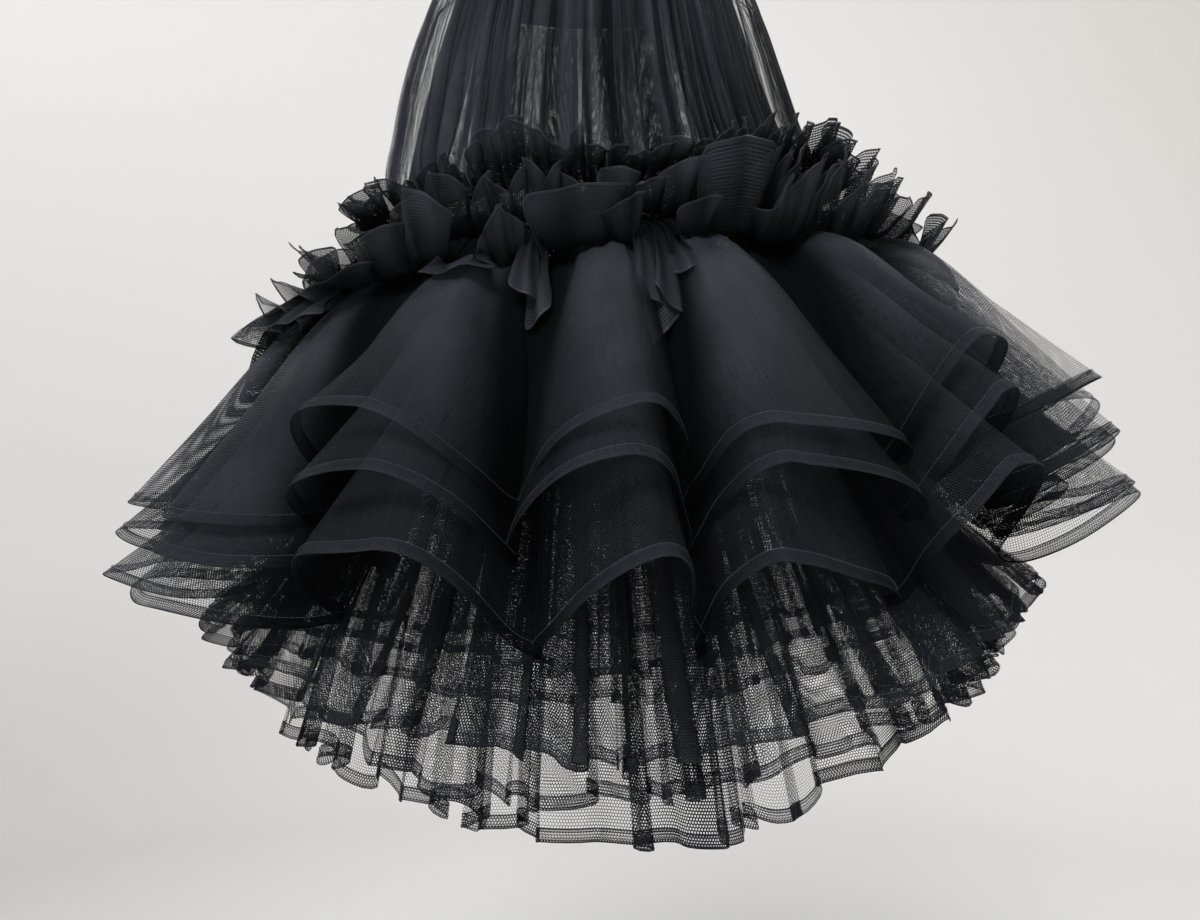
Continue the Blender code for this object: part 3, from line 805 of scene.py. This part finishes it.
def frill_points(level_name):
    """A ruffle: gathered at its seam, out to a knee, and up in stiff flat-faced loops to its rim."""
    frill = HEADINGS[level_name]
    seam_z = HEADING_SEAMS_Z[level_name]
    seed = LOOP_SEEDS[level_name]
    radius = body_radius(seam_z)
    loops = frill_loops(level_name)
    rim_deg, high, out, fold, sag = rim_path(loops, seed)
    columns = len(rim_deg)
    angle = around_skirt(columns)
    starts = FRONT_FROM_DEG + np.cumsum([0.0] + [loop.degrees for loop in loops])
    seam = np.radians(np.interp(np.arange(columns) / LOOP_COLUMNS, np.arange(len(starts)), starts))
    rim = np.radians(rim_deg)
    phase = TURN * (np.arange(columns) % LOOP_COLUMNS) / LOOP_COLUMNS
    broad = smoothed(np.repeat([min(1.0, loop.degrees / 10) for loop in loops], LOOP_COLUMNS), 4)
    side_out, side_high, _ = side_end(seam, level_name)
    high = (high + side_high) * frill.stand
    out = out + side_out
    tilt = frill.rise_to_x * np.sin(seam)
    knee_out = frill.knee_out + 0.35 * out + 0.55 * side_out - 0.6 * sag
    knee_z = seam_z + frill.knee_rise + tilt * 0.7 - 0.28 * side_out - sag * frill.knee_out / 0.05
    rim_out = frill.rim_out + out
    hanging = np.clip(-high / frill.stand, 0, 1)
    rim_z = knee_z + high + 4 * MM * uneven_wave(angle, seed + 3, (31, 47, 63))
    over = rim - seam
    rings = [
        place(seam, radius, seam_z, clear=SEWN_ON),
        place(seam + 0.15 * over, radius + 0.55 * knee_out, seam_z + 0.45 * (knee_z - seam_z)),
        place(seam + 0.42 * over, radius + knee_out, knee_z + 2 * MM * hanging),
    ]
    for share, arch in ((0.5, 3.0), (1.0, 0.0)):
        rings.append(place(
            seam + (0.42 + 0.58 * share) * over,
            radius + knee_out + (rim_out - knee_out) * share + arch * MM * (1 + hanging),
            knee_z + (rim_z - knee_z) * share,
        ))
    points = smooth_rows(rings, FRILL_ROWS)
    share = np.linspace(0, 1, FRILL_ROWS)[:, None]
    gather = np.sin(FRILL_GATHERS * angle + 2.5 * uneven_wave(angle, seed + 1, (9, 17, 29)))
    push = 1.7 * MM * gather * np.exp(-share * 3.2) * np.minimum(1, share * 9)
    small = uneven_wave(angle, seed + 2, (151, 203, 257, 311))
    push += 1.0 * MM * np.sin(math.pi * share) * small
    pleats = np.sin(RIM_PLEATS * phase + 1.5 * uneven_wave(angle, seed + 4, (13, 27, 41)))
    push += RIM_PLEAT_DEPTH * share ** 2 * pleats * (0.4 + 0.6 * broad) * (1 - fold)
    # Painted shade from the seam to past halfway and inside the folded-back parts, with lighter pleat
    # ridges towards the rim.
    painted_light = np.clip((share - 0.58) / 0.40, 0, 1) ** 1.3 * (1 - 0.9 * fold) * (0.8 + 0.2 * pleats)
    return points + outward(points) * push[:, :, None], painted_light


def long_points(level_name, order):
    """A long layer: small gathers at its seam that open into deep uneven folds at the hem."""
    seed = LONG_SEEDS[level_name]
    folds = LONG_FOLDS[level_name]
    columns = fold_columns(folds, LONG_FOLD_COLUMNS, seed, 0.45, LONG_WIDE_SHARE)
    seam = Level(LONG_SEAM_Z, body_radius(LONG_SEAM_Z) - SEWN_ON * (1 + order), 0.0)
    levels = LONG_LAYERS[level_name]
    below = Level(LONG_SEAM_Z - 0.045, seam.radius + 0.25 * (levels[0].radius - seam.radius), 0.0)
    rings = [
        fold_ring(columns, seam, fold=0.0),
        fold_ring(columns, below, turned=0.9, fold=LONG_GATHER_DEPTH),
    ]
    for turned, level in zip((0.4, 0.0, -0.25), levels):
        rings.append(fold_ring(columns, level, turned=turned, calm=LONG_CALM_SIDES))
    points = smooth_rows(rings, LONG_ROWS)
    share = np.linspace(0, 1, LONG_ROWS)[:, None]
    angle = around_skirt(points.shape[1])
    tilted = np.repeat(np.random.default_rng(seed + 7).uniform(-1, 1, folds), LONG_FOLD_COLUMNS)
    corner = smoothed(tilted, 2) * np.sin(columns[1])
    drop = 7 * MM * uneven_wave(angle, seed + 9, (5, 9, 14, 23)) + 7 * MM * corner
    points[:, :, 2] += share ** 2 * drop
    push = share * 2.2 * MM * uneven_wave(angle, seed + 19, (71, 97, 131))
    push += LONG_SWING * np.sin(math.pi * share ** 0.8) * near(columns[0], *LONG_SWING_DEG)
    return points + outward(points) * push[:, :, None]


def bunched(columns, seed, amount, reach):
    """How many layers of gathered cloth lie on each other in every column, 1 in the mean."""
    rng = np.random.default_rng(seed)
    wander = smoothed(rng.normal(0, 1, columns), reach) * math.sqrt(2 * reach + 1)
    slow = uneven_wave(around_skirt(columns), seed + 1, (7, 13, 22, 31))
    return np.exp(amount * (0.7 * wander + 0.5 * slow))


def sewn_hem(start, level_name, points, finish, slot_name, sizes, off, stand_mm, painted_light=1.0):
    """Make the folded hem band of a long sheet and its row of stitches."""
    hem = folded_hem(f"{start}_hem_{level_name}", points, sizes.hem_depth, finish, off, HEM_COVER, painted_light)
    face = outward(points)[-1]
    line = along_columns(points, sizes.hem_depth * HEM_STITCH_SHARE) + face * stand_mm * MM
    sewn = stitches(f"{start}_hem_stitches_{level_name}", line, face, 1.0 * MM, sizes)
    return [hand_in(hem, slot_name), hand_in(sewn, slot_name)]


def length_field(name, description, default_mm, min_mm):
    """A length that a maker would choose."""
    return bpy.props.FloatProperty(
        name=name, description=description, default=default_mm * MM, min=min_mm * MM, unit="LENGTH")


def colour_field(name, description, default):
    """A colour that a maker would choose."""
    return bpy.props.FloatVectorProperty(
        name=name, description=description, subtype="COLOR", size=3, min=0, max=1, default=default)


class SkirtSizes(bpy.types.PropertyGroup):
    """Sizes that a maker would choose."""

    net_mesh: length_field("Net mesh", "Hole to hole in the stiff net", 1.6, 0.5)
    long_mesh: length_field("Long layers' mesh", "Hole to hole in the long layers", 1.7, 0.5)
    tulle_mesh: length_field("Tulle mesh", "Hole to hole in the soft tulle", 1.2, 0.4)
    hem_depth: length_field("Hem depth", "How far the hems are turned up", 9, 2)
    edge_depth: length_field("Ruffle edge", "Width of the rolled edge of the ruffles", 1.5, 1)
    stitch_length: length_field("Stitch length", "Length of one hem stitch", 2.6, 1)
    thread: length_field("Thread", "Thickness of the sewing thread", 0.35, 0.1)


class SkirtColours(bpy.types.PropertyGroup):
    """Colours that a maker would choose."""

    net: colour_field("Net", "The stiff net", (0.020, 0.0222, 0.0285))
    net_rubbed: colour_field("Net, rubbed", "The net where it is handled", (0.040, 0.0435, 0.054))
    tulle: colour_field("Tulle", "The soft tulle", (0.009, 0.0096, 0.012))
    tulle_rubbed: colour_field("Tulle, rubbed", "The tulle where it is handled", (0.017, 0.018, 0.0225))
    elastic: colour_field("Elastic", "The waistband", (0.011, 0.011, 0.013))
    wall: colour_field("Wall", "The floor and wall", (0.64, 0.638, 0.632))


class SKIRT_OT_stage(bpy.types.Operator):
    """Make the camera, the pale floor and wall, and the soft studio light"""

    bl_idname = "skirt.stage"
    bl_label = "Camera, floor and light"

    def execute(self, context):
        scene = context.scene
        lens = bpy.data.cameras.new("camera")
        lens.sensor_width = SENSOR_MM
        lens.lens = CAMERA_FOCUS_PX / PHOTO_WIDTH_PX * SENSOR_MM
        lens.shift_x = (PHOTO_WIDTH_PX / 2 - CAMERA_CENTRE_PX) / PHOTO_WIDTH_PX
        camera = bpy.data.objects.new("camera", lens)
        camera.location = (0, CAMERA_Y, CAMERA_Z)
        camera.rotation_euler = (math.pi / 2, 0, 0)
        scene.collection.objects.link(camera)
        scene.camera = camera
        self.bowl(scene.skirt_colours.wall)
        for lamp in LAMPS:
            self.light(*lamp)
        world = bpy.data.worlds.new("studio")
        world.use_nodes = True
        sky = world.node_tree.nodes["Background"].inputs
        sky["Color"].default_value = SKY_COLOUR
        sky["Strength"].default_value = SKY_STRENGTH
        scene.world = world
        scene.view_settings.view_transform = "Standard"
        return {"FINISHED"}

    @staticmethod
    def bowl(colour):
        """A turned bowl: flat floor, a round sweep and an upright wall."""
        profile = [(0.0, FLOOR_Z), ((WALL_RADIUS - BOWL_CURVE) * 0.5, FLOOR_Z)]
        for step in range(17):
            angle = math.pi / 2 * step / 16
            radius = WALL_RADIUS - BOWL_CURVE + BOWL_CURVE * math.sin(angle)
            profile.append((radius, FLOOR_Z + BOWL_CURVE - BOWL_CURVE * math.cos(angle)))
        profile.append((WALL_RADIUS, WALL_TOP_Z))
        points, faces = [], []
        for radius, z in profile:
            for column in range(BOWL_COLUMNS):
                angle = TURN * column / BOWL_COLUMNS
                points.append((radius * math.sin(angle), -radius * math.cos(angle), z))
        for row in range(len(profile) - 1):
            for column in range(BOWL_COLUMNS):
                beside = (column + 1) % BOWL_COLUMNS
                low, high = row * BOWL_COLUMNS, (row + 1) * BOWL_COLUMNS
                faces.append((low + column, low + beside, high + beside, high + column))
        mesh = bpy.data.meshes.new("floor_and_wall")
        mesh.from_pydata(points, [], faces)
        mesh.shade_smooth()
        mesh.materials.append(SKIRT_OT_stage.paint(colour))
        bowl = bpy.data.objects.new("floor_and_wall", mesh)
        bpy.context.scene.collection.objects.link(bowl)
        return bowl

    @staticmethod
    def paint(colour):
        """The wall's matt paint, with painted shade where the table puts it: darker towards the upper
        right and the lower left.
        """
        made = bpy.data.materials.new("pale wall")
        made.use_nodes = True
        tree = made.node_tree
        shader = tree.nodes["Principled BSDF"].inputs
        shader["Roughness"].default_value = 0.95
        shader["Specular IOR Level"].default_value = 0.1
        spot = add_node(tree, "ShaderNodeTexCoord").outputs["Object"]
        split = add_node(tree, "ShaderNodeSeparateXYZ", ((0, spot),)).outputs
        shade = (*colour, 1)
        for across, up, tint in PAINTED_WALL_SHADE:
            share = 1.0
            for socket, (start, full) in (("X", across), ("Z", up)):
                ease = add_node(tree, "ShaderNodeMapRange", (
                    ("From Min", start), ("From Max", full), ("Value", split[socket]),
                    ("To Max", share)), interpolation_type="SMOOTHSTEP")
                share = ease.outputs["Result"]
            dark = (*(part * by for part, by in zip(colour, tint)), 1)
            shade = mix_node(tree, share, shade, dark, data_type="RGBA")
        tree.links.new(shade, shader["Base Color"])
        return made

    @staticmethod
    def light(name, where, target, size, power, colour):
        lamp = bpy.data.lights.new(name, "AREA")
        lamp.size = size
        lamp.energy = power
        lamp.color = colour
        holder = bpy.data.objects.new(name, lamp)
        holder.location = where
        aim = [there - here for here, there in zip(where, target)]
        flat = math.hypot(aim[0], aim[1])
        holder.rotation_euler = (math.atan2(flat, -aim[2]), 0, math.atan2(-aim[0], aim[1]))
        holder.visible_camera = False
        bpy.context.scene.collection.objects.link(holder)


class SKIRT_OT_finishes(bpy.types.Operator):
    """Make the finishes: stiff net, soft tulle, sheer tulle, elastic and thread"""

    bl_idname = "skirt.finishes"
    bl_label = "Finishes"

    def execute(self, context):
        sizes, colours = context.scene.skirt_sizes, context.scene.skirt_colours
        net_group()
        uneven_group()
        net, rubbed = tuple(colours.net), tuple(colours.net_rubbed)
        soft, soft_rubbed = tuple(colours.tulle), tuple(colours.tulle_rubbed)
        mesh, fine = sizes.net_mesh, sizes.tulle_mesh
        cloth_finish("stiff net", net, rubbed, mesh, 0.42, 0.11)
        cloth_finish("net hem", soft_rubbed, net, mesh, 0.60, 0.08)
        cloth_finish("ruffle tulle", soft_rubbed, rubbed, fine, 0.50, 0.08)
        cloth_finish("ruffle rim", net, rubbed, fine, 0.45, 0.20)
        cloth_finish("body tulle", net, rubbed, fine, 0.50, 0.08)
        cloth_finish("long tulle", soft, soft_rubbed, sizes.long_mesh, 0.60, 0.05)
        cloth_finish("elastic", tuple(colours.elastic), soft_rubbed, None, 0.75, 0.10, patch=0.01)
        cloth_finish("thread", rubbed, rubbed, None, 0.45, 0.30, patch=0.004)
        return {"FINISHED"}


class SKIRT_OT_waistband(bpy.types.Operator):
    """Make the ribbed elastic waistband with its rows of stitches"""

    bl_idname = "skirt.waistband"
    bl_label = "Waistband"

    def execute(self, context):
        sizes = context.scene.skirt_sizes
        columns = BAND_RIBS * BAND_RIB_COLUMNS
        azimuth = around_skirt(columns)
        rib = BAND_RIB_DEPTH * np.cos(BAND_RIBS * azimuth)
        middle = BAND_RADIUS - BAND_WALL / 2
        half = BAND_HEIGHT / 2
        rows = []
        for turn in np.linspace(0, TURN, 41):
            off = BAND_WALL / 2 * math.copysign(abs(math.cos(turn)) ** 0.35, math.cos(turn))
            z = -half + half * math.copysign(abs(math.sin(turn)) ** 0.6, math.sin(turn))
            pinch = sum(math.exp(-((z - row) / (1.2 * MM)) ** 2) for row in BAND_STITCH_ROWS_Z)
            off *= 1 - 0.22 * min(1.0, pinch)
            rows.append(place(azimuth, middle + off + rib * off / BAND_WALL * 2, z))
        band = cloth_piece("waistband_elastic", np.array(rows[::-1]), "elastic")
        hand_in(band, "waist_elastic", "waistband")
        face = np.stack((np.sin(azimuth), -np.cos(azimuth), 0 * azimuth), -1)
        for number, z in enumerate(BAND_STITCH_ROWS_Z):
            line = place(azimuth, BAND_RADIUS - 0.35 * MM, z)
            row = stitches(f"waistband_stitches_{number}", line, face, 1.2 * MM, sizes)
            hand_in(row, "waist_elastic")
        return {"FINISHED"}


class SKIRT_OT_overlay(bpy.types.Operator):
    """Make the sheer overlay, lightly gathered from the waist to its seam"""

    bl_idname = "skirt.overlay"
    bl_label = "Sheer overlay"

    def execute(self, context):
        columns = fold_columns(OVERLAY_GATHERS, OVERLAY_GATHER_COLUMNS, OVERLAY_SEED, 0.7)
        rings = [
            fold_ring(columns, level, turned=0.35 * number)
            for number, level in enumerate(OVERLAY_LEVELS)
        ]
        rings.append(place(columns[0], body_radius(OVERLAY_SEAM_Z), OVERLAY_SEAM_Z, clear=SEWN_ON))
        points = smooth_rows(rings, OVERLAY_ROWS)
        layers = GATHERED["overlay"] * bunched(points.shape[1], OVERLAY_SEED + 50, 0.6, 2)
        # Painted shade: darker in the hollows of the gathers, lighter on the folds that stand out.
        painted_light = np.clip(0.45 + 0.55 * np.cos(columns[1]), 0.1, 1)
        piece = cloth_piece("sheer_overlay", points, "body tulle", THREAD_SHARE["overlay"], layers, painted_light)
        hand_in(piece, "sheer_tulle", "overlay_tulle")
        return {"FINISHED"}


class SKIRT_OT_body(bpy.types.Operator):
    """Make the gathered body that carries the ruffles, flounces and long layers"""

    bl_idname = "skirt.body"
    bl_label = "Gathered body"

    def execute(self, context):
        columns = fold_columns(BODY_GATHERS, BODY_GATHER_COLUMNS, BODY_SEED, 0.6, BODY_WIDE_SHARE)
        rings = [
            fold_ring(columns, level._replace(radius=level.radius - drawn), turned=0.5 * number)
            for number, (level, drawn) in enumerate(zip(BODY_LEVELS, BODY_DRAWN_IN))
        ]
        points = smooth_rows(rings, BODY_ROWS)
        dense = np.exp(-((points[:, :, 2].mean(1) / 0.075) ** 2))[:, None]
        layers = GATHERED["body"] * bunched(points.shape[1], BODY_SEED + 50, 1.35, 4) + 2.2 * dense
        # Painted shade: darker in the hollows of the gathers, lighter on the folds that stand out.
        painted_light = np.clip(0.40 + 0.75 * np.cos(columns[1] + 0.6), 0, 1)
        piece = cloth_piece("gathered_body", points, "body tulle", THREAD_SHARE["body"], layers, painted_light)
        hand_in(piece, "black_tulle", "body_tulle")
        return {"FINISHED"}


class SKIRT_OT_headings(bpy.types.Operator):
    """Make the three rows of looped ruffles"""

    bl_idname = "skirt.headings"
    bl_label = "Ruffled headings"

    def execute(self, context):
        sizes = context.scene.skirt_sizes
        for level_name in HEADINGS:
            points, painted_light = frill_points(level_name)
            seam = np.radians(FRONT_FROM_DEG + 360 * np.arange(points.shape[1]) / points.shape[1])
            sheer = side_end(seam, level_name)[2] * SHEER_ENDS[level_name]
            layers = GATHERED["ruffle"] - (GATHERED["ruffle"] - 1) * sheer
            name = f"ruffle_{level_name}"
            piece = cloth_piece(name, points, "ruffle tulle", THREAD_SHARE["ruffle"], layers, painted_light)
            hand_in(piece, "black_tulle", f"heading_{level_name}")
            # The rolled edge takes the ruffle's painted light at its rim: painted shade where the rim
            # folds back.
            edge = folded_hem(f"{name}_edge", points, sizes.edge_depth, "ruffle rim", 0.25 * MM,
                              THREAD_SHARE["rim"], painted_light[-1])
            hand_in(edge, "black_tulle")
        return {"FINISHED"}


class SKIRT_OT_flounces(bpy.types.Operator):
    """Make the three fluted flounces of stiff net with their folded and stitched hems"""

    bl_idname = "skirt.flounces"
    bl_label = "Fluted flounces"

    def execute(self, context):
        sizes = context.scene.skirt_sizes
        crest = make_flutes()[0]
        down = np.linspace(0, 1, FLOUNCE_ROWS)[:, None]
        # Painted shade in the valleys between the flutes, and a painted highlight across the upper
        # middle of each crest.
        painted_light = eased(crest, 0.36, 0.98) * (0.62 + 0.38 * np.exp(-((down - 0.38) / 0.24) ** 2))
        layers = 1 + (flounce_layers() - 1) * (1 - 0.6 * down ** 4)
        for level_name in FLOUNCES:
            points = flounce_points(level_name)
            piece = cloth_piece(f"net_flounce_{level_name}", points, "stiff net",
                                THREAD_SHARE["net"], layers, painted_light)
            hand_in(piece, "black_net", f"flounce_{level_name}")
            # The hems take painted shade in the valleys between the flutes.
            sewn = sewn_hem("net", level_name, points, "net hem", "black_net", sizes, 0.5 * MM, 0.6,
                            0.04 + 0.9 * eased(crest, 0.35, 1.0))
        return {"FINISHED"}


class SKIRT_OT_long_layers(bpy.types.Operator):
    """Make the three long soft layers with their narrow stitched hems"""

    bl_idname = "skirt.long_layers"
    bl_label = "Long layers"

    def execute(self, context):
        sizes = context.scene.skirt_sizes
        # Painted shade: the long layers are darker towards their seam, under the flounces.
        painted_light = np.linspace(0.05, 1, LONG_ROWS)[:, None] ** 1.3
        for order, level_name in enumerate(LONG_LAYERS):
            points = long_points(level_name, order)
            layers = GATHERED["long"] * bunched(points.shape[1], LONG_SEEDS[level_name] + 50, 0.8, 3)
            piece = cloth_piece(f"long_tulle_{level_name}", points, "long tulle",
                                THREAD_SHARE["long"], layers, painted_light)
            hand_in(piece, "black_tulle", f"long_layer_{level_name}")
            sewn = sewn_hem("long", level_name, points, "long tulle", "black_tulle", sizes,
                            0.35 * MM, 0.45)
        return {"FINISHED"}


class SKIRT_PT_pieces(bpy.types.Panel):
    """The skirt's pieces, in the order that they are made"""

    bl_label = "Tulle skirt"
    bl_idname = "SKIRT_PT_pieces"
    bl_space_type = "VIEW_3D"
    bl_region_type = "UI"
    bl_category = "Skirt"

    def draw(self, context):
        layout = self.layout
        for group in (context.scene.skirt_sizes, context.scene.skirt_colours):
            for field in group.bl_rna.properties:
                if field.identifier not in ("rna_type", "name"):
                    layout.prop(group, field.identifier)
        for maker in MAKERS:
            layout.operator(maker.bl_idname)


MAKERS = (
    SKIRT_OT_stage,
    SKIRT_OT_finishes,
    SKIRT_OT_waistband,
    SKIRT_OT_overlay,
    SKIRT_OT_body,
    SKIRT_OT_headings,
    SKIRT_OT_flounces,
    SKIRT_OT_long_layers,
)
CLASSES = (SkirtSizes, SkirtColours, *MAKERS, SKIRT_PT_pieces)


def register():
    for made in CLASSES:
        bpy.utils.register_class(made)
    bpy.types.Scene.skirt_sizes = bpy.props.PointerProperty(type=SkirtSizes)
    bpy.types.Scene.skirt_colours = bpy.props.PointerProperty(type=SkirtColours)


def unregister():
    del bpy.types.Scene.skirt_colours
    del bpy.types.Scene.skirt_sizes
    for made in reversed(CLASSES):
        bpy.utils.unregister_class(made)


def main():
    register()
    bpy.ops.skirt.stage()
    bpy.ops.skirt.finishes()
    bpy.ops.skirt.waistband()
    bpy.ops.skirt.overlay()
    bpy.ops.skirt.body()
    bpy.ops.skirt.headings()
    bpy.ops.skirt.flounces()
    bpy.ops.skirt.long_layers()


if __name__ == "__main__":
    main()
